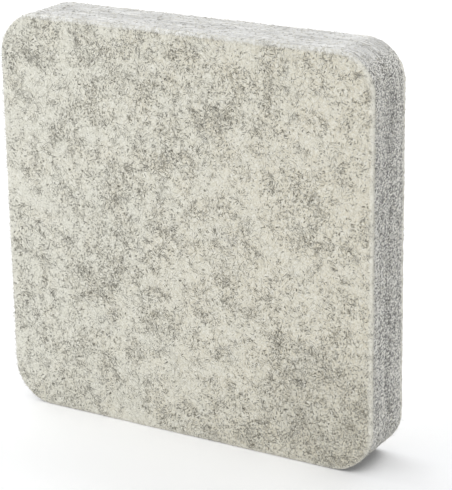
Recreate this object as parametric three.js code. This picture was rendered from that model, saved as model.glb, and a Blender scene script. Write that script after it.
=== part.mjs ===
// Needle felting mat: two thick sheets of dense wool felt, laid face to face, joined by a thin web of
// adhesive and die-cut together to a square with rounded corners. The mat stands on its lower cut edge.
// Millimetres, +Z up. X runs across the mat and Y through its thickness, with the working face towards -Y.
// The origin is on the ground, under the middle of the mat.
import * as THREE from "three";

// Die-cut outline
const MAT_WIDTH = 203.2;
const MAT_HEIGHT = 203.2;
const CORNER_RADIUS = 19.5;
const CORNER_STEPS = 6; // per 45 degrees

// Felt sheets
const SHEET_THICKNESS = 15.7;

// Face rim: the outer face is pressed down and rounded off where the die went in
const FACE_RIM_INSET = 0.9;
const FACE_RIM_DEPTH = 0.8;
const FACE_RIM_STEPS = 5;

// Parting rim: each sheet rolls in a little towards the joint, which leaves a shallow groove round the mat
const PARTING_RIM_INSET = 0.35;
const PARTING_RIM_DEPTH = 2.4;
const PARTING_RIM_STEPS = 5;

// Adhesive web, which stops short of the cut edge
const WEB_THICKNESS = 0.35;
const WEB_MARGIN = 3;

const QUARTER_TURN = Math.PI / 2;

// One ring of points round the mat, parallel to the die-cut outline and set in from it, at a depth y
function ring(inset, y) {
  const cornerX = MAT_WIDTH / 2 - CORNER_RADIUS;
  const cornerZ = MAT_HEIGHT / 2 - CORNER_RADIUS;
  const radius = CORNER_RADIUS - inset;
  const outline = new THREE.Path();
  outline.absarc(cornerX, cornerZ, radius, 0, QUARTER_TURN);
  outline.absarc(-cornerX, cornerZ, radius, QUARTER_TURN, 2 * QUARTER_TURN);
  outline.absarc(-cornerX, -cornerZ, radius, 2 * QUARTER_TURN, 3 * QUARTER_TURN);
  outline.absarc(cornerX, -cornerZ, radius, 3 * QUARTER_TURN, 4 * QUARTER_TURN);
  return outline.getPoints(CORNER_STEPS).map((point) => [point.x, y, point.y + MAT_HEIGHT / 2]);
}

// A closed plate lofted through one ring for each station of its rim, from the front face to the back face.
// A flat fan of faces round a middle point closes each end.
function loftedPlate(stations) {
  const rings = stations.map((station) => ring(station.inset, station.y));
  const count = rings[0].length;
  const lastRing = (rings.length - 1) * count;
  const frontMiddle = rings.length * count;
  const backMiddle = frontMiddle + 1;
  const middles = [stations.at(0), stations.at(-1)].map((station) => [0, station.y, MAT_HEIGHT / 2]);
  const faces = [];
  for (let i = 0; i < count; i++) {
    const next = (i + 1) % count;
    faces.push(frontMiddle, i, next);
    faces.push(backMiddle, lastRing + next, lastRing + i);
    for (let start = 0; start < lastRing; start += count) {
      faces.push(start + i, start + count + i, start + next);
      faces.push(start + next, start + count + i, start + count + next);
    }
  }
  const geometry = new THREE.BufferGeometry();
  const points = [...rings.flat(), ...middles].flat();
  geometry.setAttribute("position", new THREE.Float32BufferAttribute(points, 3));
  geometry.setIndex(faces);
  geometry.computeVertexNormals();
  return geometry;
}

// The rim of a sheet that lies in front of the web: the rounded edge of the outer face, the straight cut
// edge, and the softer roll towards the parting face. Both rounds are quarters of an ellipse.
function sheetStations() {
  const partingY = -WEB_THICKNESS / 2;
  const outerY = partingY - SHEET_THICKNESS;
  const stations = [];
  for (let step = 0; step <= FACE_RIM_STEPS; step++) {
    const angle = (step / FACE_RIM_STEPS) * QUARTER_TURN;
    const inset = FACE_RIM_INSET * (1 - Math.sin(angle));
    stations.push({ inset, y: outerY + FACE_RIM_DEPTH * (1 - Math.cos(angle)) });
  }
  for (let step = 0; step <= PARTING_RIM_STEPS; step++) {
    const angle = (step / PARTING_RIM_STEPS) * QUARTER_TURN;
    const inset = PARTING_RIM_INSET * (1 - Math.cos(angle));
    stations.push({ inset, y: partingY - PARTING_RIM_DEPTH * (1 - Math.sin(angle)) });
  }
  return stations;
}

// The flat web between the two parting faces
function webStations() {
  return [
    { inset: WEB_MARGIN, y: -WEB_THICKNESS / 2 },
    { inset: WEB_MARGIN, y: WEB_THICKNESS / 2 },
  ];
}

const feltFinish = new THREE.MeshStandardMaterial({ color: 0xc7c5b9, roughness: 0.95, metalness: 0 });
const webFinish = new THREE.MeshStandardMaterial({ color: 0xb9b7ae, roughness: 0.6, metalness: 0 });

const frontSheet = new THREE.Mesh(loftedPlate(sheetStations()), feltFinish);
frontSheet.name = "front_felt_sheet";

// The second sheet is the same piece, turned round so that the two parting faces look at each other
const backSheet = new THREE.Mesh(frontSheet.geometry, feltFinish);
backSheet.name = "back_felt_sheet";
backSheet.rotation.z = Math.PI;

const bondWeb = new THREE.Mesh(loftedPlate(webStations()), webFinish);
bondWeb.name = "bond_web";

const feltingMat = new THREE.Group();
feltingMat.add(frontSheet, backSheet, bondWeb);

export default feltingMat;
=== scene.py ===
import math
from typing import NamedTuple

import bpy
import numpy as np
from mathutils import Matrix, Vector, noise


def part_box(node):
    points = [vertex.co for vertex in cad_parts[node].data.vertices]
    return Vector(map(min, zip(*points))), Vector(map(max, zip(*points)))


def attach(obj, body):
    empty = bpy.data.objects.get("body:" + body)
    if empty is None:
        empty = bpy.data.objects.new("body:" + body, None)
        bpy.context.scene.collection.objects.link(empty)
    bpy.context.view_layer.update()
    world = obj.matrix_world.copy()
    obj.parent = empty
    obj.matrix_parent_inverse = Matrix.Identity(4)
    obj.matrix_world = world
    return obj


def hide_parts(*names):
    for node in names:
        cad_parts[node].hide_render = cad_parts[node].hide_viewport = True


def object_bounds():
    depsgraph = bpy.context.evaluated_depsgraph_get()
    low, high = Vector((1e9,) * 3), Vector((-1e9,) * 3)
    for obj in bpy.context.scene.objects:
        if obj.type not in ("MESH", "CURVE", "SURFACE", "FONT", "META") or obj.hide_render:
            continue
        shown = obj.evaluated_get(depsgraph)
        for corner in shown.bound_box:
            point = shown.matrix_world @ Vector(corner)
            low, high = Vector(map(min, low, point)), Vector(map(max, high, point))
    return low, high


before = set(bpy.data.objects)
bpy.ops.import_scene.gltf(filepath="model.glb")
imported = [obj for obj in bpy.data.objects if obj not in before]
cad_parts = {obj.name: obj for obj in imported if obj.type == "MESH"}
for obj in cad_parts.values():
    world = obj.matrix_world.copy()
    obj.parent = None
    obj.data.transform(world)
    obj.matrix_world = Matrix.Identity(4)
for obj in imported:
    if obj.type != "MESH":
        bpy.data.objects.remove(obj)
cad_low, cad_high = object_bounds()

MM = 0.001
QUARTER_TURN = math.pi / 2

# The mat, as its solids have it
sheet_low, sheet_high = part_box("front_felt_sheet")
MAT_WIDTH = cad_high.x - cad_low.x
MAT_HEIGHT = cad_high.z - cad_low.z
MIDDLE_Z = (cad_low.z + cad_high.z) / 2
FACE_LOW = np.array((cad_low.x, cad_low.z))
FACE_HIGH = np.array((cad_high.x, cad_high.z))
OUTER_Y = sheet_low.y
SHEET_THICKNESS = sheet_high.y - sheet_low.y
CORNER_RADIUS = 19.5 * MM
FACE_RIM_INSET = 0.9 * MM
FACE_RIM_DEPTH = 0.8 * MM
PARTING_RIM_INSET = 0.35 * MM
PARTING_RIM_DEPTH = 2.4 * MM
CORNER_X = MAT_WIDTH / 2 - CORNER_RADIUS
CORNER_Z = MAT_HEIGHT / 2 - CORNER_RADIUS
CORNER_SIGNS = ((1, 1), (-1, 1), (-1, -1), (1, -1))
SIDE_LENGTH = QUARTER_TURN * CORNER_RADIUS + 2 * CORNER_X

# How the soft felt gave: in at each corner, out at the foot by a share of the width, and over the joint
CORNER_GIVES = (0.0, 1.0 * MM, 0.5 * MM, 1.3 * MM)
CORNER_REACH = 23.5 * MM
FOOT_SPREAD = 0.005
GIVE_EASE = 1.5
JOINT_BULGE = 0.15 * MM

# Relief of the felt: height and width of its swells, from broad waves to tufts and fibre bundles
SWELLS = ((0.22 * MM, 30 * MM), (0.12 * MM, 7 * MM), (0.09 * MM, 2.2 * MM))

# Each sheet: its name, the seed of its fibres, where its relief starts, and whether it lies behind
SHEETS = (
    ("front", 11, np.array((3.1, 0.7, 5.9)), False),
    ("back", 23, np.array((11.4, 8.2, 2.3)), True),
)

# How finely the felt is meshed
RUN_CELLS = 180
CORNER_CELLS = 33
SIDE_CELLS = CORNER_CELLS + RUN_CELLS
RING_CELLS = 4 * SIDE_CELLS
BAND_CELLS = 18
FACE_RIM_CELLS = 8
CUT_EDGE_CELLS = 18
PARTING_RIM_CELLS = 6
HIDDEN_CELLS = 3
HIDDEN_MARGIN = 8 * MM

# Layout of a sheet's texture map, as lengths of felt on it, and of a fibre's cell, as a share of the cell
MAP_SIDE = 256 * MM
MAP_MARGIN = 3 * MM
MAP_STRIPS_AT = 210 * MM
MAP_STRIP_PITCH = 22 * MM
MAP_HIDDEN_AT = 212 * MM
MAP_HIDDEN_SHARE = 0.18
MAP_CELL_MARGIN = 0.1


class Fibres(NamedTuple):
    """One kind of loose fibre: how many a sheet has, the range of their lengths, radii and tones, from 0 for
    cream wool to 1 for grey wool, and how far they arch over the felt."""
    count: int
    lengths: tuple
    radii: tuple
    tones: tuple
    lift: float


# Loose fibres
GREY_FIBRES = Fibres(6000, (2 * MM, 7 * MM), (0.035 * MM, 0.07 * MM), (0.6, 1.0), 0.12 * MM)
PALE_FIBRES = Fibres(6000, (3 * MM, 9 * MM), (0.03 * MM, 0.06 * MM), (0.0, 0.25), 0.2 * MM)
FRINGE_FIBRES = Fibres(3800, (1 * MM, 3 * MM), (0.035 * MM, 0.07 * MM), (-0.2, 0.1), 0.2 * MM)
EDGE_FIBRES = Fibres(4600, (0.8 * MM, 2.4 * MM), (0.045 * MM, 0.1 * MM), (-0.4, 0.85), 0.25 * MM)
RIM_FIBRES = EDGE_FIBRES._replace(count=1600, tones=(-0.2, 0.1))

# How the fibres lie. Curl is the spread of their turns, in radians for each metre of fibre
FIBRE_POINTS = 6
FIBRE_SIDES = 3
FIBRE_DIP = 0.04 * MM
FIBRE_CURL = 260.0
FIBRE_END_TAPER = 0.35
LEAST_LIFT = 0.2
STANDING_SHARE = 0.2
STANDING_LIFT = 0.8 * MM
STANDING_EASE = 1.5
FACE_OVERHANG = 0.2 * MM
EDGE_MARGIN = 0.1 * MM
RIM_SCATTER = 0.6 * MM
GREY_WISPS = 520
WISP_LENGTH = 2.6 * MM
WISP_WIDTH = 1.1 * MM
WISP_SPLAY = 0.7
GATHERING_WIDTH = 26 * MM
GATHERING_FINE_WIDTH = 9 * MM
GATHERING_FINE_OFFSET = 7
GATHERING_STRENGTH = 0.6
FRINGE_ROOT = 0.2 * MM
FRINGE_SCATTER = 0.7 * MM
FRINGE_SPLAY = 0.5
FRINGE_DROOP = 0.15
FRAY_REACH = 1.6 * MM
FRAY_GREYNESS = 0.3
FRAY_THICKENING = 0.25


def linear(red, green, blue):
    """An sRGB colour, 0 to 255, as the linear colour that a shader takes."""
    shares = [part / 255 for part in (red, green, blue)]
    return tuple(s / 12.92 if s <= 0.04045 else ((s + 0.055) / 1.055) ** 2.4 for s in shares) + (1.0,)


# Colours
BLACK = (0.0, 0.0, 0.0, 1.0)
WHITE = (1.0, 1.0, 1.0, 1.0)
CREAM_WOOL = linear(233, 226, 205)
COOL_CREAM_WOOL = linear(228, 226, 211)
PALE_WOOL = linear(253, 251, 240)
# Whiter fuzz along the top rim, a painted highlight
TOP_HIGHLIGHT_WOOL = linear(254, 254, 251)
GREY_WOOL = linear(54, 47, 26)
CUT_WOOL = linear(240, 238, 231)
# Paler, cooler wool of the edges that face up or down: partly painted light from above
COMBED_PAINTED_LIT_WOOL = linear(240, 239, 235)
CUT_GREY_WOOL = linear(98, 96, 92)
LOOSE_CREAM_WOOL = linear(246, 243, 232)
LOOSE_GREY_WOOL = linear(62, 57, 42)
WEB_GREY = linear(170, 168, 160)
WEB_DARK_GREY = linear(120, 118, 112)

# Pattern of the felt's faces, in millimetres and degrees: width and reach of the curls that bend it, widths
# of its noise, and lengths and widths of its flecks
CURLS = ((6.0, 3.0), (1.8, 1.2))
CLOUD_WIDTH = 30.0
KNOT_WIDTH = 10.0
WARMTH_WIDTH = 10.0
WARMTH_SCATTER = 300.0
WARMTH_FADE = (-150.0, 130.0)
TUFT_WIDTH = 3.6
SPECKLE_WIDTH = 0.8
FLECK_HEADINGS = (8, 43, 71, 112, 154)
FLECK_LAYER_SHIFT = (31.0, 7.0)
SHORT_FLECK = (1.9, 0.52, 1.0)
LONG_FLECK = (4.6, 0.56, 1.0)
LONG_FLECK_TURN = 17
PALE_FLECK = (2.4, 0.48, 1.0)
PALE_FLECK_TURN = 9
BLOT = (2.0, 1.4, 1.0)
BLOT_HEADING = 25

# Where grey wool gathers most on the faces, with painted shade, towards the lower right corner, in
# millimetres
SHADED_CORNER_X = 80.0
SHADED_CORNER_Z = 30.0
SHADED_CORNER_CORE = 12.0
SHADED_CORNER_REACH = 52.0
SHADED_CORNER_RAGGEDNESS = 40.0

# Pattern of the cut edges and the rims, in millimetres and degrees, and how far its strokes are drawn out
CUT_END_WIDTH = 0.494
CUT_END_STRETCH = (2.5, 2.0, 1.0)
CUT_END_TILT = 25
LAYER_WIDTH = 2.6
STREAK_WIDTH = 1.2
STREAK_STRETCH = (14.0, 1.0, 14.0)
# The groove fades set painted shade along the groove between the sheets, eased off at the joint line itself.
GROOVE_SHADE_FADE = (1.6, 4.6)
JOINT_SHADE_FADE = (0.0, 1.8)
FRONT_FADE = (-4.0, 0.0)
CUT_FADE = (0.15, 0.8)
CUT_RAGGEDNESS = 0.8
# These fades place a painted highlight on the rims: thicker pale fuzz towards the upper right, and thicker,
# whiter fuzz along the top.
TOP_HIGHLIGHT_STARTS = 6.0
TOP_HIGHLIGHT_FULL = 1.0
HIGHLIGHT_FADE = (-40.0, 50.0)
BACK_FADE = (-1.0, 1.0)
FUZZ_FADE = (1.0, 2.6)
FUZZ_RAGGEDNESS = 2.5

# Grain of the fibres and the web, in millimetres, and depths of the bumps
FIBRE_STREAK_WIDTH = 1.5
WEB_MOTTLE_WIDTH = 3.0
FELT_BUMP = 0.3 * MM
WEB_BUMP = 0.1 * MM

# Floor and light. The floor's glow fades towards the camera and to the right, between places in millimetres
FLOOR_REACH = 3.0
FLOOR_GAP = 0.1 * MM
FLOOR_GREY = (0.75, 0.75, 0.75, 1.0)
FLOOR_GLOW = 0.15
GLOW_FADES_AHEAD = (-85.0, -10.0)
GLOW_FADES_RIGHT = (60.0, 105.0)
CONTACT_REACH = 20 * MM
SURROUND_STRENGTH = 0.6
COOL_LIGHT = (0.97, 0.99, 1.02)
COLD_LIGHT = (0.96, 0.985, 1.03)

# Lamps: name, place, size, level and colour
LAMPS = (
    ("top_lamp", (0.4, 0.4, 1.6), 2.0, 0.46, COOL_LIGHT),
    ("near_left_lamp", (-0.75, -0.75, 0.3), 0.6, 0.32, COOL_LIGHT),
    ("far_left_lamp", (-1.2, 0.4, 0.8), 1.6, 0.42, COLD_LIGHT),
)

# The photograph's view
PHOTO_HEIGHT_PIXELS = 490
FOCAL_PIXELS = 2013
SENSOR_WIDTH = 36
CAMERA_PLACE = Vector((0.4833, -0.7862, 0.4097))
CAMERA_YAW = math.radians(-30.78)
CAMERA_PITCH = math.radians(18.88)
CAMERA_ROLL = math.radians(-0.91)


class Value:
    """A node's output in a finish. Arithmetic on it adds Math nodes."""

    def __init__(self, finish, socket):
        self.finish = finish
        self.socket = socket

    def maths(self, operation, *terms):
        return self.finish.node("ShaderNodeMath", {"operation": operation}, dict(enumerate(terms)))

    def __add__(self, other):
        return self.maths("ADD", self, other)

    def __sub__(self, other):
        return self.maths("SUBTRACT", self, other)

    def __rsub__(self, other):
        return self.maths("SUBTRACT", other, self)

    def __mul__(self, other):
        return self.maths("MULTIPLY", self, other)

    def __abs__(self):
        return self.maths("ABSOLUTE", self)

    def at_most(self, other):
        return self.maths("MINIMUM", self, other)

    def at_least(self, other):
        return self.maths("MAXIMUM", self, other)

    def root(self):
        return self.maths("SQRT", self)

    def other(self, output):
        """Another output of the same node."""
        return Value(self.finish, self.socket.node.outputs[output])

    __radd__ = __add__
    __rmul__ = __mul__


class Finish:
    """The nodes of a material or of the world, as they are put together."""

    def __init__(self, tree):
        self.tree = tree
        tree.nodes.clear()

    def node(self, kind, settings, sockets, output=0):
        """Adds a node: its settings first, then the values or links of its sockets."""
        made = self.tree.nodes.new(kind)
        for name, setting in settings.items():
            setattr(made, name, setting)
        for name, term in sockets.items():
            if isinstance(term, Value):
                self.tree.links.new(term.socket, made.inputs[name])
            else:
                made.inputs[name].default_value = term
        return Value(self, made.outputs[output]) if made.outputs else None

    def vector(self, operation, *terms, **named):
        sockets = {**dict(enumerate(terms)), **named}
        return self.node("ShaderNodeVectorMath", {"operation": operation}, sockets)

    def millimetres(self):
        """The place of a point in its object's frame, in millimetres."""
        place = self.node("ShaderNodeTexCoord", {}, {}, "Object")
        return self.vector("SCALE", place, Scale=1 / MM)

    def facing(self):
        """The direction that the surface faces in its object's frame."""
        return self.node("ShaderNodeTexCoord", {}, {}, "Normal")

    def axis(self, vector, name):
        return self.node("ShaderNodeSeparateXYZ", {}, {0: vector}, name)

    def noise(self, vector, width, detail=2.0, roughness=0.5, output="Fac"):
        """Cloudy noise whose blotches are about that wide."""
        sockets = {"Vector": vector, "Scale": 1 / width, "Detail": detail, "Roughness": roughness}
        return self.node("ShaderNodeTexNoise", {"noise_dimensions": "3D"}, sockets, output)

    def shifted(self, vector, width, reach):
        """The place moved about by noise, so that what is drawn there wanders."""
        drift = self.noise(vector, width, 1.0, 0.5, "Color")
        centred = self.vector("SUBTRACT", drift, (0.5, 0.5, 0.5))
        return self.vector("ADD", vector, self.vector("SCALE", centred, Scale=reach))

    def flat(self, vector):
        """A place in the sheet's plane, as a vector with no third part."""
        return self.node("ShaderNodeCombineXYZ", {}, {0: self.axis(vector, "X"), 1: self.axis(vector, "Z")})

    def stretched(self, vector, lengths):
        """The place squeezed, so that what is drawn there comes out longer by those ratios."""
        return self.vector("DIVIDE", vector, lengths)

    def turned(self, vector, angles, lengths):
        """The place squeezed along turned axes, so that strokes come out longer by those ratios."""
        sockets = {0: vector, "Rotation": angles, "Scale": lengths}
        return self.node("ShaderNodeMapping", {"vector_type": "TEXTURE"}, sockets)

    def flecks(self, vector, heading, size, share):
        """Flecks of about that size, each with its own strength, in that share of the cells of a pattern."""
        turned = self.turned(vector, (0.0, 0.0, math.radians(heading)), size)
        settings = {"feature": "F1", "voronoi_dimensions": "2D"}
        reach = self.node("ShaderNodeTexVoronoi", settings, {"Vector": turned, "Scale": 1.0}, "Distance")
        tint = reach.other("Color")
        chosen = self.ramp(share - self.axis(tint, "X"), 0.0, 0.1)
        return chosen * self.ramp(reach, 0.15, 0.6, 1.0, 0.0) * (0.25 + 0.75 * self.axis(tint, "Y"))

    def ramp(self, value, low, high, start=0.0, end=1.0):
        """A smooth step from start, where the value is low, to end, where it is high."""
        settings = {"interpolation_type": "SMOOTHSTEP", "clamp": True}
        return self.node("ShaderNodeMapRange", settings, {0: value, 1: low, 2: high, 3: start, 4: end})

    def mix(self, factor, first, second):
        """Two colours mixed."""
        settings = {"data_type": "RGBA", "clamp_factor": True}
        return self.node("ShaderNodeMix", settings, {0: factor, 6: first, 7: second}, 2)

    def attribute(self, name):
        return self.node("ShaderNodeAttribute", {"attribute_name": name}, {}, "Fac")

    def end(self, kind, surface):
        self.node(kind, {}, {"Surface": surface})


def new_material(name):
    material = bpy.data.materials.new(name)
    material.use_nodes = True
    return material, Finish(material.node_tree)


# Shape of the rounded square and its rims


def outline(inset):
    """Points round the mat, set in from the cut edge, as x and height over the middle."""
    radius = CORNER_RADIUS - inset
    arcs = []
    for corner, (sign_x, sign_z) in enumerate(CORNER_SIGNS):
        angles = (corner + np.linspace(0, 1, CORNER_CELLS + 1)) * QUARTER_TURN
        across = sign_x * CORNER_X + radius * np.cos(angles)
        up = sign_z * CORNER_Z + radius * np.sin(angles)
        arcs.append(np.column_stack((across, up)))
    sides = []
    for arc, following in zip(arcs, arcs[1:] + arcs[:1]):
        share = np.linspace(0, 1, RUN_CELLS + 1)[1:-1, None]
        sides += [arc, arc[-1] * (1 - share) + following[0] * share]
    return np.concatenate(sides)


def rim_stations():
    """Insets from the cut edge and depths behind the face, from the flat of the face to the hidden face."""
    face_turn = np.linspace(0, QUARTER_TURN, FACE_RIM_CELLS + 1)[1:]
    parting_turn = np.linspace(0, QUARTER_TURN, PARTING_RIM_CELLS + 1)[1:]
    cut_end = SHEET_THICKNESS - PARTING_RIM_DEPTH
    insets = [
        np.linspace(CORNER_RADIUS, FACE_RIM_INSET, BAND_CELLS + 1)[1:],
        FACE_RIM_INSET * (1 - np.sin(face_turn)),
        np.zeros(CUT_EDGE_CELLS),
        PARTING_RIM_INSET * (1 - np.cos(parting_turn)),
        np.linspace(PARTING_RIM_INSET, HIDDEN_MARGIN, HIDDEN_CELLS + 1)[1:],
    ]
    depths = [
        np.zeros(BAND_CELLS),
        FACE_RIM_DEPTH * (1 - np.cos(face_turn)),
        np.linspace(FACE_RIM_DEPTH, cut_end, CUT_EDGE_CELLS + 1)[1:],
        cut_end + (PARTING_RIM_DEPTH + JOINT_BULGE) * np.sin(parting_turn),
        np.full(HIDDEN_CELLS, SHEET_THICKNESS),
    ]
    return np.concatenate(insets), np.concatenate(depths)


def swell(points, width, offset):
    """Smooth noise from -1 to 1 at each point, with swells of that width."""
    return np.array([noise.noise(place) for place in (points / width + offset).tolist()])


def relief(points, offset):
    """How far the felt stands proud of its plain form at each point."""
    return sum(height * swell(points, width, offset) for height, width in SWELLS)


def edge_inset(depth):
    """How far a sheet's rim is set in from the cut edge, at a depth behind the face."""
    face_part = np.clip(1 - depth / FACE_RIM_DEPTH, 0, 1)
    parting_part = np.clip(1 - (SHEET_THICKNESS - depth) / PARTING_RIM_DEPTH, 0, 1)
    at_face = FACE_RIM_INSET * (1 - np.sqrt(1 - face_part**2))
    at_parting = PARTING_RIM_INSET * (1 - np.sqrt(1 - parting_part**2))
    return at_face + at_parting


def turned_back(points):
    """The same points on the back sheet, which is the front one turned round."""
    return points * np.array((-1, -1, 1))


def softened(points):
    """The points as the soft felt gave: spread a little at the foot, and pulled in at the corners."""
    moved = points.copy()
    moved[:, 0] *= 1 + FOOT_SPREAD * np.clip(1 - points[:, 2] / MAT_HEIGHT, 0, 1) ** GIVE_EASE
    for (sign_x, sign_z), give in zip(CORNER_SIGNS, CORNER_GIVES):
        across = np.maximum(sign_x * points[:, 0] - MAT_WIDTH / 2 + CORNER_REACH, 0)
        up = np.maximum(sign_z * (points[:, 2] - MIDDLE_Z) - MAT_HEIGHT / 2 + CORNER_REACH, 0)
        pull = give * (2 * across * up / CORNER_REACH**2) ** GIVE_EASE
        moved -= pull[:, None] * np.array((sign_x, 0, sign_z)) / math.sqrt(2)
    return moved


# Felt sheets


def sheet_vertices():
    """The grid in the middle of the face, the rings round it, and the middle of the hidden face."""
    across = np.linspace(-CORNER_X, CORNER_X, RUN_CELLS + 1)
    up = np.linspace(-CORNER_Z, CORNER_Z, RUN_CELLS + 1)
    grid_x, grid_z = np.meshgrid(across, up, indexing="ij")
    flat = np.full(grid_x.size, OUTER_Y)
    rows = [np.column_stack((grid_x.ravel(), flat, grid_z.ravel() + MIDDLE_Z))]
    for inset, depth in zip(*rim_stations()):
        ring = outline(inset)
        level = np.full(len(ring), OUTER_Y + depth)
        rows.append(np.column_stack((ring[:, 0], level, ring[:, 1] + MIDDLE_Z)))
    rows.append(np.array([[0, OUTER_Y + SHEET_THICKNESS, MIDDLE_Z]]))
    return np.concatenate(rows)


def grid_cells():
    """Faces of the grid in the middle of the sheet's face."""
    cells = np.arange(RUN_CELLS)
    first = (cells[:, None] * (RUN_CELLS + 1) + cells[None, :]).ravel()
    return np.column_stack((first, first + RUN_CELLS + 1, first + RUN_CELLS + 2, first + 1))


def grid_border():
    """The grid's border as a ring: each rounded corner starts from one corner of the grid."""
    last = RUN_CELLS
    step = np.arange(1, RUN_CELLS)
    full, none = np.full(RUN_CELLS - 1, last), np.zeros(RUN_CELLS - 1, int)
    runs = [(last - step, full), (none, last - step), (step, none), (full, step)]
    corners = [(last, last), (0, last), (0, 0), (last, 0)]
    ring = []
    for (corner_i, corner_j), (run_i, run_j) in zip(corners, runs):
        ring += [corner_i * (last + 1) + corner_j] * (CORNER_CELLS + 1)
        ring += list(run_i * (last + 1) + run_j)
    return np.array(ring)


def ring_faces(inner, outer):
    """Faces between two rings. Where the inner ring stays on one point, they are triangles."""
    quads = np.column_stack((inner, outer, np.roll(outer, -1), np.roll(inner, -1)))
    return [[corner for corner, other in zip(quad, quad[1:] + quad[:1]) if corner != other]
            for quad in quads.tolist()]


def strip_places(near, far):
    """Places on the map of one ring of cut-edge faces: each side of the mat has its own strip."""
    side, step = np.divmod(np.arange(RING_CELLS), SIDE_CELLS)
    cell = SIDE_LENGTH / SIDE_CELLS
    up_or_down_painted_lit = MAP_MARGIN + cell * np.column_stack((step, step, step + 1, step + 1))
    crosswise = MAP_STRIPS_AT + MAP_STRIP_PITCH * (side % 2)[:, None] + np.array((near, far, far, near))
    level = (side < 2)[:, None]
    first = np.where(level, up_or_down_painted_lit, crosswise)
    second = np.where(level, crosswise, up_or_down_painted_lit)
    return np.stack((first, second), 2).reshape(-1, 2)


def sheet_faces(vertices):
    """Faces of a sheet, with each corner's place on the map: the face as it lies, the cut edge in strips."""
    insets, depths = rim_stations()
    start = (RUN_CELLS + 1) ** 2
    ring = np.arange(RING_CELLS)
    rings = [grid_border()] + [start + station * RING_CELLS + ring for station in range(len(insets))]
    seam = BAND_CELLS + FACE_RIM_CELLS // 2
    lengths = np.hypot(np.diff(insets), np.diff(depths))
    along = np.concatenate((np.zeros(seam), np.cumsum(lengths[seam - 1:])))
    flat_map = MAP_MARGIN + vertices[:, (0, 2)] - FACE_LOW
    middle = grid_cells()
    faces = middle.tolist()
    places = [flat_map[middle].reshape(-1, 2)]
    for station, (inner, outer) in enumerate(zip(rings, rings[1:])):
        band = ring_faces(inner, outer)
        faces += band
        if station < seam:
            places.append(flat_map[np.concatenate(band)])
        else:
            places.append(strip_places(along[station - 1], along[station]))
    hidden = np.column_stack((rings[-1], np.full(RING_CELLS, len(vertices) - 1), np.roll(rings[-1], -1)))
    faces += hidden.tolist()
    shrunk = (vertices[hidden][:, :, (0, 2)] - FACE_LOW) * MAP_HIDDEN_SHARE
    places.append((MAP_HIDDEN_AT + shrunk).reshape(-1, 2))
    return faces, np.concatenate(places) / MAP_SIDE


def add_mesh(name, vertices, faces, map_places, material):
    """A smooth mesh, with a map laid out for its finish to be baked to."""
    mesh = bpy.data.meshes.new(name)
    mesh.from_pydata(vertices.tolist(), [], faces)
    mesh.uv_layers.new(name="OFBake").uv.foreach_set("vector", map_places.astype(np.float32).ravel())
    mesh.polygons.foreach_set("use_smooth", np.ones(len(mesh.polygons), bool))
    mesh.materials.append(material)
    mesh.update()
    piece = bpy.data.objects.new(name, mesh)
    bpy.context.scene.collection.objects.link(piece)
    return piece


def felt_sheet(name, offset, behind, material):
    """One sheet with its relief, flat where it stands on the floor and where it meets the other sheet."""
    vertices = sheet_vertices()
    faces, map_places = sheet_faces(vertices)
    piece = add_mesh(name, vertices, faces, map_places, material)
    normals = np.zeros(vertices.size, np.float32)
    piece.data.vertex_normals.foreach_get("vector", normals)
    free = np.clip((OUTER_Y + SHEET_THICKNESS - vertices[:, 1]) / PARTING_RIM_DEPTH, 0, 1)
    vertices += normals.reshape(-1, 3) * (relief(vertices, offset) * free)[:, None]
    vertices[:, 2] = np.maximum(vertices[:, 2], cad_low.z)
    if behind:
        vertices = turned_back(vertices)
    piece.data.vertices.foreach_set("co", softened(vertices).astype(np.float32).ravel())
    piece.data.update()
    return piece


# Where loose fibres lie on the felt


def face_inset(across, up):
    """How far points on the face lie in from the cut edge, below zero past it."""
    past_x, past_z = np.abs(across) - CORNER_X, np.abs(up - MIDDLE_Z) - CORNER_Z
    round_corner = np.hypot(np.maximum(past_x, 0), np.maximum(past_z, 0))
    return CORNER_RADIUS - (round_corner + np.minimum(np.maximum(past_x, past_z), 0))


def face_drop(inset):
    """How far the rounded rim of the face lies behind its flat, at an inset from the cut edge."""
    share = np.clip(1 - inset / FACE_RIM_INSET, 0, 1)
    return FACE_RIM_DEPTH * (1 - np.sqrt(1 - share**2)) + np.maximum(-inset, 0) * FRINGE_DROOP


def edge_places(along, depth):
    """Points on a sheet's cut edge, a way round the mat and a depth behind the face, and where they face."""
    side, rest = np.divmod(along, SIDE_LENGTH)
    arc = np.minimum(rest, QUARTER_TURN * CORNER_RADIUS)
    angles = side * QUARTER_TURN + arc / CORNER_RADIUS
    signs = np.array(CORNER_SIGNS)[side.astype(int) % 4]
    run = rest - arc
    reach = CORNER_RADIUS - edge_inset(depth)
    across = signs[..., 0] * CORNER_X - run * np.sin(angles) + reach * np.cos(angles)
    up = signs[..., 1] * CORNER_Z + run * np.cos(angles) + reach * np.sin(angles)
    outwards = np.stack((np.cos(angles), np.zeros_like(angles), np.sin(angles)), -1)
    return np.stack((across, OUTER_Y + depth, up + MIDDLE_Z), -1), outwards


def wander(rng, starts, headings, lengths):
    """Curly lines over a flat surface, as two coordinates for each of their points."""
    count = len(starts)
    along = np.linspace(-0.5, 0.5, FIBRE_POINTS)
    bend = rng.normal(0, FIBRE_CURL, (count, 1)) * lengths[:, None]
    twist = rng.normal(0, FIBRE_CURL, (count, 1)) * lengths[:, None]
    angles = headings[:, None] + bend * along + twist * (along**2 - 1 / 12) * 2
    steps = np.stack((np.cos(angles), np.sin(angles)), 2) * (lengths / (FIBRE_POINTS - 1))[:, None, None]
    paths = np.cumsum(steps, 1)
    return starts[:, None, :] + paths - paths.mean(1, keepdims=True)


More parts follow.
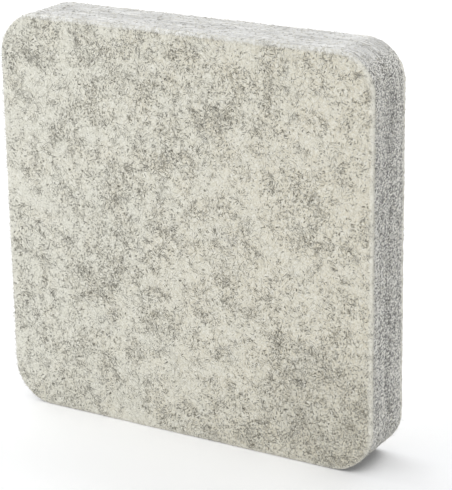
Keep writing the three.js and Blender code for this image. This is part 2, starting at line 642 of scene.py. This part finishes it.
def arched(rng, count, lift):
    """Heights of fibres whose ends dip into the felt and whose middles arch over it."""
    arch = np.sin(np.linspace(0, math.pi, FIBRE_POINTS))
    return arch * rng.uniform(LEAST_LIFT, 1, (count, 1)) * lift - FIBRE_DIP


def standing(rng, count, lift):
    """Heights of fibres that are rooted at one end and stand away from the felt at the other."""
    rise = np.linspace(0, 1, FIBRE_POINTS) ** STANDING_EASE
    return rise * rng.uniform(LEAST_LIFT, 1, (count, 1)) * lift - FIBRE_DIP


def lie_on_face(paths, offset, heights):
    """Lays flat lines on the felt's outer face, at heights over it."""
    across, up = paths[..., 0], paths[..., 1]
    plain = np.stack((across, OUTER_Y + face_drop(face_inset(across, up)), up), 2)
    proud = relief(plain.reshape(-1, 3), offset).reshape(across.shape)
    plain[..., 1] -= proud + heights
    outwards = np.zeros_like(plain)
    outwards[..., 1] = -1
    return plain, outwards


def lie_on_edge(paths, offset, heights):
    """Lays flat lines on a sheet's cut edge, at heights over the felt."""
    along = paths[..., 0]
    depth = np.clip(paths[..., 1], EDGE_MARGIN, SHEET_THICKNESS - EDGE_MARGIN)
    plain, outwards = edge_places(along, depth)
    proud = relief(plain.reshape(-1, 3), offset).reshape(along.shape)
    return plain + outwards * (proud + heights)[..., None], outwards


def gathered_starts(rng, count, gather, offset):
    """Random starts over the face, denser where broad noise is high."""
    starts = np.zeros((0, 2))
    while len(starts) < count:
        tries = rng.uniform(FACE_LOW, FACE_HIGH, (count, 2))
        tries = tries[face_inset(tries[:, 0], tries[:, 1]) > -FACE_OVERHANG]
        places = np.column_stack((tries[:, 0], np.zeros(len(tries)), tries[:, 1]))
        broad = swell(places, GATHERING_WIDTH, offset)
        fine = swell(places, GATHERING_FINE_WIDTH, offset + GATHERING_FINE_OFFSET)
        chance = 0.5 + gather * GATHERING_STRENGTH * (broad + fine)
        starts = np.concatenate((starts, tries[rng.uniform(0, 1, len(tries)) < chance]))
    return starts[:count]


# Loose fibres as thin tubes


def tube_vertices(lines, outwards, radii):
    """Points of thin tubes along lines, tapered at both ends, with one corner turned outwards."""
    tangents = np.gradient(lines, axis=1)
    sideways = np.cross(tangents, outwards)
    sideways /= np.linalg.norm(sideways, axis=2, keepdims=True)
    upwards = np.cross(sideways, tangents)
    upwards /= np.linalg.norm(upwards, axis=2, keepdims=True)
    swelling = np.sin(np.linspace(0, math.pi, FIBRE_POINTS)) ** 0.5
    taper = FIBRE_END_TAPER + (1 - FIBRE_END_TAPER) * swelling
    reach = (radii[:, None] * taper)[:, :, None, None]
    angles = QUARTER_TURN + np.arange(FIBRE_SIDES) * 2 * math.pi / FIBRE_SIDES
    across = np.cos(angles)[:, None] * sideways[:, :, None, :]
    up = np.sin(angles)[:, None] * upwards[:, :, None, :]
    return (lines[:, :, None, :] + reach * (across + up)).reshape(-1, 3)


def tube_faces(count):
    """Walls and closed ends of that many tubes."""
    index = np.arange(count * FIBRE_POINTS * FIBRE_SIDES).reshape(count, FIBRE_POINTS, FIBRE_SIDES)
    following = np.roll(index, -1, axis=2)
    walls = np.stack((index[:, :-1], index[:, 1:], following[:, 1:], following[:, :-1]), 3)
    ends = np.concatenate((index[:, 0], index[:, -1, ::-1]))
    return walls.reshape(-1, 4).tolist() + ends.tolist()


def tube_places(count):
    """Places of the tubes' faces on a map that has a cell for each tube."""
    cells = math.ceil(math.sqrt(count))
    column, row = np.divmod(np.arange(count), cells)
    inner = 1 - 2 * MAP_CELL_MARGIN
    along = MAP_CELL_MARGIN + inner * np.linspace(0, 1, FIBRE_POINTS)[:, None]
    around = MAP_CELL_MARGIN + inner * np.linspace(0, 1, FIBRE_SIDES + 1)
    places = np.zeros((count, FIBRE_POINTS, FIBRE_SIDES + 1, 2))
    places[..., 0] = (column[:, None, None] + along) / cells
    places[..., 1] = (row[:, None, None] + around) / cells
    near, far = places[:, :-1], places[:, 1:]
    walls = np.stack((near[:, :, :-1], far[:, :, :-1], far[:, :, 1:], near[:, :, 1:]), 3)
    ends = np.concatenate((places[:, 0, :FIBRE_SIDES], places[:, -1, FIBRE_SIDES - 1::-1]))
    return np.concatenate((walls.reshape(-1, 2), ends.reshape(-1, 2)))


def fibre_piece(name, lines, outwards, tones, radii, behind, material):
    """Fibres as one piece, with each fibre's tone for its finish."""
    vertices = tube_vertices(lines, outwards, radii)
    vertices[:, 2] = np.maximum(vertices[:, 2], cad_low.z)
    if behind:
        vertices = turned_back(vertices)
    count = len(lines)
    piece = add_mesh(name, softened(vertices), tube_faces(count), tube_places(count), material)
    tone = piece.data.attributes.new("tone", "FLOAT", "POINT")
    tone.data.foreach_set("value", np.repeat(tones, FIBRE_POINTS * FIBRE_SIDES).astype(np.float32))
    return piece


def wisp_paths(rng, offset):
    """Flat lines of the grey fibres, gathered in loose wisps."""
    count = GREY_FIBRES.count
    centres = gathered_starts(rng, GREY_WISPS, 1.0, offset)
    headings = rng.uniform(0, math.pi, GREY_WISPS)
    members = rng.integers(0, GREY_WISPS, count)
    turned = headings[members] + rng.normal(0, WISP_SPLAY, count)
    along = rng.normal(0, WISP_LENGTH, count)
    beside = rng.normal(0, WISP_WIDTH, count)
    line = np.column_stack((np.cos(headings), np.sin(headings)))[members]
    starts = centres[members] + along[:, None] * line + beside[:, None] * line[:, ::-1] * np.array((-1, 1))
    kept = face_inset(starts[:, 0], starts[:, 1]) > -FACE_OVERHANG
    return wander(rng, starts[kept], turned[kept], rng.uniform(*GREY_FIBRES.lengths, kept.sum()))


def scattered_paths(rng, offset):
    """Flat lines of the pale fibres, all over the face."""
    count = PALE_FIBRES.count
    starts = gathered_starts(rng, count, 0.0, offset)
    lengths = rng.uniform(*PALE_FIBRES.lengths, count)
    return wander(rng, starts, rng.uniform(0, math.pi, count), lengths)


def face_fibres(side, seed, offset, behind, material):
    """The loose fibres of one outer face: grey wisps, and pale fibres all over."""
    rng = np.random.default_rng(seed)
    pieces = []
    for shade, kind, laid_out in (("grey", GREY_FIBRES, wisp_paths), ("pale", PALE_FIBRES, scattered_paths)):
        paths = laid_out(rng, offset)
        lines, outwards = lie_on_face(paths, offset, arched(rng, len(paths), kind.lift))
        tones = rng.uniform(*kind.tones, len(lines))
        radii = rng.uniform(*kind.radii, len(lines))
        name = side + "_face_" + shade + "_fibres"
        pieces.append(fibre_piece(name, lines, outwards, tones, radii, behind, material))
    return pieces


def edge_fibres(side, seed, offset, behind, material):
    """The cut ends and short loops of wool on a sheet's cut edge, and pale fuzz along the rim of its face."""
    rng = np.random.default_rng(seed + 1)
    count = EDGE_FIBRES.count + RIM_FIBRES.count
    on_rim = slice(EDGE_FIBRES.count, count)
    starts = rng.uniform((0, 0), (4 * SIDE_LENGTH, SHEET_THICKNESS), (count, 2))
    starts[on_rim, 1] = np.abs(rng.normal(0, RIM_SCATTER, RIM_FIBRES.count))
    lengths = rng.uniform(*EDGE_FIBRES.lengths, count)
    paths = wander(rng, starts, rng.uniform(0, 2 * math.pi, count), lengths)
    upright = rng.uniform(0, 1, (count, 1)) < STANDING_SHARE
    tall = standing(rng, count, STANDING_LIFT)
    low = arched(rng, count, EDGE_FIBRES.lift)
    lines, outwards = lie_on_edge(paths, offset, np.where(upright, tall, low))
    tones = rng.uniform(*EDGE_FIBRES.tones, count)
    tones[on_rim] = rng.uniform(*RIM_FIBRES.tones, RIM_FIBRES.count)
    radii = rng.uniform(*EDGE_FIBRES.radii, count)
    return [fibre_piece(side + "_edge_fibres", lines, outwards, tones, radii, behind, material)]


def fringe_fibres(side, seed, offset, behind, material):
    """The pale fibres that the cut combed outwards over the rim of a face. They are frayed further out, a
    little greyer and thicker, on the left rim of the working face."""
    rng = np.random.default_rng(seed + 2)
    count = FRINGE_FIBRES.count
    rims, outwards = edge_places(rng.uniform(0, 4 * SIDE_LENGTH, count), np.zeros(count))
    outwards = outwards[:, (0, 2)]
    frayed = np.clip(-outwards[:, 0], 0, 1) * (not behind)
    starts = rims[:, (0, 2)] - outwards * rng.normal(FRINGE_ROOT, FRINGE_SCATTER, (count, 1))
    starts += outwards * frayed[:, None] * FRAY_REACH
    headings = np.arctan2(outwards[:, 1], outwards[:, 0]) + rng.normal(0, FRINGE_SPLAY, count)
    paths = wander(rng, starts, headings, rng.uniform(*FRINGE_FIBRES.lengths, count))
    lines, outwards = lie_on_face(paths, offset, arched(rng, count, FRINGE_FIBRES.lift))
    tones = rng.uniform(*FRINGE_FIBRES.tones, count) + FRAY_GREYNESS * frayed
    radii = rng.uniform(*FRINGE_FIBRES.radii, count) * (1 + FRAY_THICKENING * frayed)
    return [fibre_piece(side + "_rim_fringe", lines, outwards, tones, radii, behind, material)]


# Finishes


def inside_outline(felt, place):
    """How far a point lies in from the die-cut outline, in millimetres."""
    across = abs(felt.axis(place, "X")) - CORNER_X / MM
    up = abs(felt.axis(place, "Z") - MIDDLE_Z / MM) - CORNER_Z / MM
    past_x, past_z = across.at_least(0.0), up.at_least(0.0)
    beyond = (past_x * past_x + past_z * past_z).root() + across.at_least(up).at_most(0.0)
    return CORNER_RADIUS / MM - beyond


def grey_and_shaded_corner(felt, place, knots):
    """1 at the lower right corner of a face, where grey wool gathers most and painted shade darkens it,
    fading raggedly to 0 round it.
    """
    across = felt.axis(place, "X") - SHADED_CORNER_X
    up = felt.axis(place, "Z") - SHADED_CORNER_Z
    away = (across * across + up * up).root() + (knots - 0.5) * SHADED_CORNER_RAGGEDNESS
    return felt.ramp(away, SHADED_CORNER_CORE, SHADED_CORNER_REACH, 1.0, 0.0)


def marl(felt, place, curled, tufts, speckle):
    """How much grey and how much pale wool lies at each point of a face, in flecks that gather in clouds."""
    clouds = felt.noise(place, CLOUD_WIDTH)
    knots = felt.noise(curled, KNOT_WIDTH)
    grey_and_shade = grey_and_shaded_corner(felt, place, knots)
    # At the lower right corner there are more grey flecks, and the cream is darkened evenly: that even
    # darkening is painted shade.
    gathered = felt.ramp(tufts * 0.42 + knots * 0.28 + clouds * 0.3 + grey_and_shade * 0.09, 0.42, 0.64)
    grey = gathered * 0.05 + grey_and_shade * 0.08 + felt.ramp(speckle, 0.42, 0.7) * 0.14
    pale = felt.ramp(speckle, 0.3, 0.55, 1.0, 0.0) * 0.5
    flat = felt.flat(curled)
    grey = grey.at_least(felt.flecks(flat, BLOT_HEADING, BLOT, 0.06) * 1.5)
    for turn, heading in enumerate(FLECK_HEADINGS):
        layer = felt.vector("ADD", flat, (FLECK_LAYER_SHIFT[0] * turn, FLECK_LAYER_SHIFT[1], 0.0))
        short = felt.flecks(layer, heading, SHORT_FLECK, 0.07 + 0.3 * gathered)
        long = felt.flecks(layer, heading + LONG_FLECK_TURN, LONG_FLECK, 0.03 + 0.14 * gathered)
        grey = grey.at_least(short).at_least(long * 0.9)
        pale = pale.at_least(felt.flecks(layer, heading + PALE_FLECK_TURN, PALE_FLECK, 0.35))
    return grey, pale


def face_wool(felt, place, grey, pale):
    """Colour of a face: cream wool in patches, mostly warmer to the right, with pale and grey flecks."""
    patches = felt.noise(place, WARMTH_WIDTH)
    warm = felt.ramp(felt.axis(place, "X") + (patches - 0.5) * WARMTH_SCATTER, *WARMTH_FADE)
    cream = felt.mix(warm, COOL_CREAM_WOOL, CREAM_WOOL)
    return felt.mix(grey, felt.mix(pale, cream, PALE_WOOL), GREY_WOOL)


def edge_wool(felt, place, middle, tufts, ends):
    """Colour of a cut edge: speckled with fibre ends, and softly streaked where the cut runs along the
    fibres, on the edges that face up or down; these are also painted paler and lower in contrast, as light
    from above. It is darker in the groove between the sheets, which is painted shade."""
    # Edges that face up or down are painted paler and lower in contrast, as light from above falls on them.
    up_or_down_painted_lit = felt.ramp(abs(felt.axis(felt.facing(), "Z")), 0.5, 0.95)
    stretched = felt.stretched(place, STREAK_STRETCH)
    layers = felt.noise(stretched, LAYER_WIDTH)
    streaks = felt.noise(stretched, STREAK_WIDTH, 2.0, 0.6)
    # Painted shade in the groove between the sheets.
    groove_shade = felt.ramp(middle, *GROOVE_SHADE_FADE, 1.0, 0.0) - felt.ramp(middle, *JOINT_SHADE_FADE, 0.7, 0.0)
    bright = ends + (tufts - 0.5) * 0.16 + (layers - 0.5) * 0.18 - groove_shade * 0.04
    speckled = felt.ramp(bright, 0.436, 0.516)
    forward = felt.ramp(felt.axis(place, "Y"), *FRONT_FADE, 1.0, 0.0)
    streaked = 0.758 + (streaks - 0.5) * 1.6 + (ends - 0.5) * 0.5 - groove_shade * 0.08 + forward * 0.035
    paleness = speckled * (1.0 - up_or_down_painted_lit) + streaked * up_or_down_painted_lit
    return felt.mix(paleness, CUT_GREY_WOOL, felt.mix(up_or_down_painted_lit, CUT_WOOL, COMBED_PAINTED_LIT_WOOL))


def rim_fuzz_and_highlight(felt, place, behind, grey, tufts, speckle):
    """How much pale fuzz lies on the rims of the faces, and its colour. The fuzz is thicker to the upper
    right and along the top, and whiter along the top: that part is painted highlight. On the back sheet it
    laps further over the upright edges."""
    across = felt.axis(place, "X")
    up = felt.axis(place, "Z") - MIDDLE_Z / MM
    top = MAT_HEIGHT / 2 / MM
    top_highlight = felt.ramp(up, top - TOP_HIGHLIGHT_STARTS, top - TOP_HIGHLIGHT_FULL)
    # Painted highlight: more fuzz towards the upper right and along the top.
    painted_highlight = felt.ramp(across + up * 0.8, *HIGHLIGHT_FADE).at_least(top_highlight)
    upright = felt.ramp(abs(felt.axis(felt.facing(), "X")), 0.6, 0.95)
    over = behind * (2.8 - 2.0 * upright * felt.ramp(felt.axis(place, "Y"), *BACK_FADE))
    inset = inside_outline(felt, place)
    ragged = (speckle - 0.5) * FUZZ_RAGGEDNESS + (tufts - 0.5) * FUZZ_RAGGEDNESS
    near = (inset * inset + over * over).root() + ragged
    fuzz_and_highlight = felt.ramp(near, *FUZZ_FADE, 1.0, 0.0) * (0.3 + 0.7 * painted_highlight)
    broken = felt.ramp(speckle, 0.3, 0.55, 0.75, 1.0) * (1.0 - grey * 0.7)
    return fuzz_and_highlight * broken, felt.mix(top_highlight, PALE_WOOL, TOP_HIGHLIGHT_WOOL)


def wool_felt():
    """Marled wool felt: cream and grey wool on the faces, cooler cut edges, and pale fuzz with a painted
    highlight on the rims.
    """
    material, felt = new_material("wool_felt")
    place = felt.millimetres()
    curled = place
    for width, reach in CURLS:
        curled = felt.shifted(curled, width, reach)
    tufts = felt.noise(curled, TUFT_WIDTH, 2.0, 0.6)
    speckle = felt.noise(curled, SPECKLE_WIDTH, 2.0, 0.6)
    slanted = felt.turned(place, (math.radians(CUT_END_TILT), 0.0, 0.0), CUT_END_STRETCH)
    ends = felt.noise(slanted, CUT_END_WIDTH, 1.0, 0.6)
    middle = abs(felt.axis(place, "Y"))
    behind = -OUTER_Y / MM - middle
    grey, pale = marl(felt, place, curled, tufts, speckle)
    ragged = (tufts - 0.5) * CUT_RAGGEDNESS + (ends - 0.5) * CUT_RAGGEDNESS
    cut = felt.ramp(behind + ragged, *CUT_FADE)
    face = face_wool(felt, place, grey, pale)
    edge = edge_wool(felt, place, middle, tufts, ends)
    fuzz_and_highlight, fuzz_and_highlight_colour = rim_fuzz_and_highlight(felt, place, behind, grey, tufts, speckle)
    height = speckle + pale * 0.2 - grey * 0.2 + ends * cut
    bump = felt.node("ShaderNodeBump", {}, {"Strength": 0.8, "Distance": FELT_BUMP, "Height": height})
    shader = felt.node("ShaderNodeBsdfPrincipled", {}, {
        "Base Color": felt.mix(fuzz_and_highlight, felt.mix(cut, face, edge), fuzz_and_highlight_colour),
        "Roughness": 0.95,
        "Specular IOR Level": 0.15,
        "Sheen Weight": 0.3,
        "Sheen Roughness": 0.6,
        "Normal": bump,
    })
    felt.end("ShaderNodeOutputMaterial", shader)
    return material


def loose_wool():
    """Single wool fibres, from cream to grey, each of its own tone."""
    material, wool = new_material("loose_wool")
    streak = wool.noise(wool.millimetres(), FIBRE_STREAK_WIDTH)
    shade = wool.attribute("tone") + (streak - 0.5) * 0.3
    shader = wool.node("ShaderNodeBsdfPrincipled", {}, {
        "Base Color": wool.mix(shade, LOOSE_CREAM_WOOL, LOOSE_GREY_WOOL),
        "Roughness": 0.7,
        "Specular IOR Level": 0.2,
        "Sheen Weight": 0.1,
    })
    wool.end("ShaderNodeOutputMaterial", shader)
    return material


def adhesive_web():
    """Hot-melt web: dull grey film, mottled where it soaked into the wool."""
    material, web = new_material("adhesive_web")
    mottle = web.noise(web.millimetres(), WEB_MOTTLE_WIDTH, 3.0, 0.6)
    bump = web.node("ShaderNodeBump", {}, {"Strength": 0.3, "Distance": WEB_BUMP, "Height": mottle})
    shader = web.node("ShaderNodeBsdfPrincipled", {}, {
        "Base Color": web.mix(web.ramp(mottle, 0.35, 0.65), WEB_GREY, WEB_DARK_GREY),
        "Roughness": 0.6,
        "Normal": bump,
    })
    web.end("ShaderNodeOutputMaterial", shader)
    return material


# Floor, light and camera


def seen_directly(finish):
    """1 where the camera sees a surface, also in a mirror or glass, and 0 where it only lights others."""
    path = finish.node("ShaderNodeLightPath", {}, {}, "Is Camera Ray")
    return (path + path.other("Is Glossy Ray") + path.other("Is Transmission Ray")).at_most(1.0)


def floor_finish():
    """A pale floor that takes the mat's shadow. The camera sees it white, with a glow that is fullest along
    the mat's foot, and a painted shadow where the right corner nearly closes over it."""
    material, floor = new_material("white_floor")
    place = floor.millimetres()
    nearby = floor.ramp(floor.axis(place, "Y"), *GLOW_FADES_AHEAD, 0.1, 1.0)
    leftward = floor.ramp(floor.axis(place, "X"), *GLOW_FADES_RIGHT, 1.0, 0.2)
    # Painted contact shadow, from how open the floor is round each point, only towards the right.
    openness = floor.node("ShaderNodeAmbientOcclusion", {"samples": 16}, {"Distance": CONTACT_REACH}, "AO")
    shade = floor.ramp(openness, 0.1, 0.5, 0.3, 1.0).at_least(leftward)
    pale = floor.node("ShaderNodeBsdfDiffuse", {}, {"Color": FLOOR_GREY})
    white = floor.node("ShaderNodeBsdfPrincipled", {}, {
        "Base Color": floor.mix(shade, BLACK, WHITE),
        "Roughness": 1.0,
        "Specular IOR Level": 0.0,
        "Emission Color": floor.mix(nearby * leftward, BLACK, WHITE),
        "Emission Strength": FLOOR_GLOW,
    })
    shader = floor.node("ShaderNodeMixShader", {}, {0: seen_directly(floor), 1: pale, 2: white})
    floor.end("ShaderNodeOutputMaterial", shader)
    return material


def white_floor():
    mesh = bpy.data.meshes.new("floor")
    corners = [(sign_x * FLOOR_REACH, sign_y * FLOOR_REACH, 0) for sign_x, sign_y in CORNER_SIGNS]
    mesh.from_pydata(corners, [], [(0, 1, 2, 3)])
    mesh.materials.append(floor_finish())
    plane = bpy.data.objects.new("floor", mesh)
    plane.location.z = cad_low.z - FLOOR_GAP
    bpy.context.scene.collection.objects.link(plane)


def white_surround():
    """White all round: the camera sees it at full white, and it lights the mat less strongly."""
    world = bpy.data.worlds.new("studio")
    bpy.context.scene.world = world
    world.use_nodes = True
    sky = Finish(world.node_tree)
    light = sky.node("ShaderNodeBackground", {}, {"Color": WHITE, "Strength": SURROUND_STRENGTH})
    backdrop = sky.node("ShaderNodeBackground", {}, {"Color": WHITE, "Strength": 1.0})
    shader = sky.node("ShaderNodeMixShader", {}, {0: seen_directly(sky), 1: light, 2: backdrop})
    sky.end("ShaderNodeOutputWorld", shader)


def soft_lamp(name, place, size, level, colour):
    """A square lamp aimed at the mat's middle. Level is how bright it makes a white surface that faces it."""
    aim = Vector((0, 0, MIDDLE_Z))
    lamp = bpy.data.lights.new(name, "AREA")
    lamp.size = size
    lamp.color = colour
    lamp.energy = level * math.pi**2 * (Vector(place) - aim).length_squared
    holder = bpy.data.objects.new(name, lamp)
    holder.location = place
    holder.rotation_euler = (aim - Vector(place)).to_track_quat("-Z", "Y").to_euler()
    bpy.context.scene.collection.objects.link(holder)


def photo_camera():
    ahead = Vector((math.sin(CAMERA_YAW) * math.cos(CAMERA_PITCH),
                    math.cos(CAMERA_YAW) * math.cos(CAMERA_PITCH),
                    -math.sin(CAMERA_PITCH)))
    level = Vector((math.cos(CAMERA_YAW), -math.sin(CAMERA_YAW), 0))
    upright = level.cross(ahead)
    right = level * math.cos(CAMERA_ROLL) + upright * math.sin(CAMERA_ROLL)
    up = upright * math.cos(CAMERA_ROLL) - level * math.sin(CAMERA_ROLL)
    lens = bpy.data.cameras.new("photo_view")
    lens.sensor_width = SENSOR_WIDTH
    lens.lens = FOCAL_PIXELS / PHOTO_HEIGHT_PIXELS * SENSOR_WIDTH
    camera = bpy.data.objects.new("photo_view", lens)
    turn = Matrix((right, up, -ahead)).transposed().to_4x4()
    camera.matrix_world = Matrix.Translation(CAMERA_PLACE) @ turn
    bpy.context.scene.collection.objects.link(camera)
    bpy.context.scene.camera = camera


photo_camera()
white_floor()
white_surround()
for lamp in LAMPS:
    soft_lamp(*lamp)
bpy.context.scene.view_settings.view_transform = "Standard"

felt_material = wool_felt()
fibre_material = loose_wool()
for side, seed, offset, behind in SHEETS:
    sheet = felt_sheet(side + "_felt", offset, behind, felt_material)
    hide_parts(side + "_felt_sheet")
    pieces = [sheet]
    for fibres in (face_fibres, edge_fibres, fringe_fibres):
        pieces += fibres(side, seed, offset, behind, fibre_material)
    for piece in pieces:
        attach(piece, "root")
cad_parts["bond_web"].data.materials.clear()
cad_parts["bond_web"].data.materials.append(adhesive_web())
